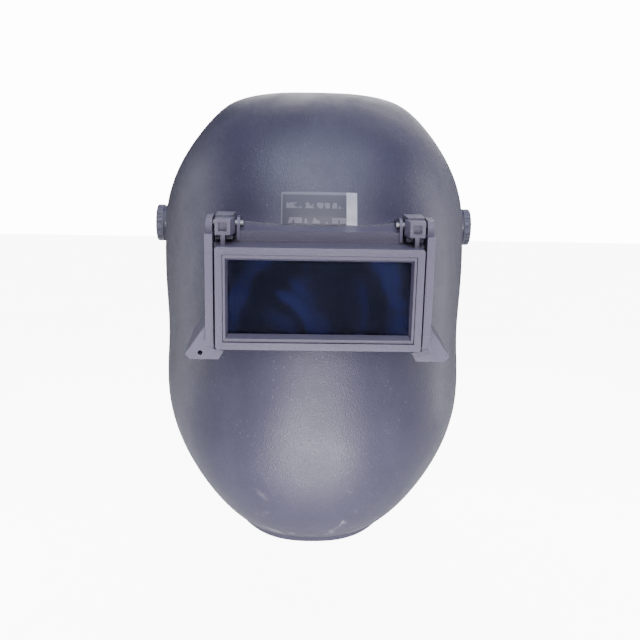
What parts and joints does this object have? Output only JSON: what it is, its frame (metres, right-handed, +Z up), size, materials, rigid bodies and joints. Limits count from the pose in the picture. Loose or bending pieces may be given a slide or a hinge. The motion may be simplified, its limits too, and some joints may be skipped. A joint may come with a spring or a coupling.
{
  "type": "welding helmet",
  "caption": "Curved full-face shell with a flip-up window frame, side tension knobs and an adjustable ratchet headgear inside.",
  "frame": {"origin": "middle of the axis on which the shell pivots on its headgear", "axes": "+Z up, -Y the way the wearer faces, +X to the wearer's left (right of a front view)"},
  "size_m": [0.2246, 0.3045, 0.3009],
  "materials": {
    "shell_plastic": "fine-grained matt",
    "frame_plastic": "fine-grained satin",
    "knob_plastic": "satin",
    "strap_plastic": "satin",
    "foil": "brushed foil",
    "clear_plate": "clear",
    "filter_glass": "dark",
    "gasket_rubber": "matt",
    "steel": "zinc plated",
    "brass": "turned",
    "fibre": "matt",
    "sweatband_fabric": "knitted over foam"
  },
  "bodies": {
    "headgear": {"side_arm_right": "strap_plastic", "side_arm_left": "strap_plastic", "pivot_bolt_right": "steel", "pivot_bolt_left": "steel", "tilt_stop_plate_right": "strap_plastic", "tilt_stop_plate_left": "strap_plastic", "inner_friction_washer_right": "fibre", "inner_friction_washer_left": "fibre", "outer_friction_washer_right": "fibre", "outer_friction_washer_left": "fibre", "headband": "strap_plastic", "sweatband": "sweatband_fabric", "rear_strap_right": "strap_plastic", "rear_strap_left": "strap_plastic", "crown_strap_right": "strap_plastic", "crown_strap_left": "strap_plastic", "crown_button": "strap_plastic", "arm_rivets": "steel", "strap_rivets": "steel", "crown_rivets": "steel"},
    "helmet": {"helmet_shell": "shell_plastic", "stop_pegs": "steel", "rating_label": "foil", "window_base_frame": "frame_plastic", "frame_screws": "steel", "safety_plate": "clear_plate", "safety_plate_retainer": "strap_plastic", "hinge_pin_right": "steel", "hinge_pin_left": "steel"},
    "lift_front": {"lift_frame": "frame_plastic", "plate_bezel": "frame_plastic", "cover_plate": "clear_plate", "filter_plate": "filter_glass", "filter_gasket": "gasket_rubber", "filter_retainer": "steel"},
    "adjuster": {"ratchet_housing": "strap_plastic", "ratchet_back_plate": "strap_plastic", "nape_pad": "sweatband_fabric", "housing_screws": "steel"},
    "ratchet_dial": {"ratchet_knob": "knob_plastic", "pinion": "strap_plastic", "ratchet_spring": "steel"},
    "knob_right": {"tension_knob_right": "knob_plastic", "knob_insert_right": "brass"},
    "knob_left": {"tension_knob_left": "knob_plastic", "knob_insert_left": "brass"}
  },
  "joints": [
    {"name": "helmet_tilt", "type": "hinge", "parent": "headgear", "child": "helmet", "pos_m": [0, 0, 0], "axis": [-1, 0, 0], "range_deg": [0, 57]},
    {"name": "lift_front", "type": "hinge", "parent": "helmet", "child": "lift_front", "pos_m": [0, -0.1593, 0.00643], "axis": [-1, 0, 0], "range_deg": [0, 100]},
    {"name": "knob_right_turn", "type": "hinge", "parent": "headgear", "child": "knob_right", "pos_m": [0.11, 0, 0], "axis": [1, 0, 0], "range_deg": [0, 360]},
    {"name": "knob_left_turn", "type": "hinge", "parent": "headgear", "child": "knob_left", "pos_m": [-0.11, 0, 0], "axis": [-1, 0, 0], "range_deg": [0, 360]},
    {"name": "band_tighten", "type": "slide", "parent": "headgear", "child": "adjuster", "axis": [0, -1, 0], "range_m": [0, 0.015], "deforming": ["rear_strap_right", "rear_strap_left"]},
    {"name": "ratchet_turn", "type": "hinge", "parent": "adjuster", "child": "ratchet_dial", "pos_m": [0, 0.1084, -0.015], "axis": [0, -1, 0], "range_deg": [0, 215]}
  ],
  "couplings": [
    {"joint": "ratchet_turn", "follows": "band_tighten", "rad_per_m": 250}
  ]
}
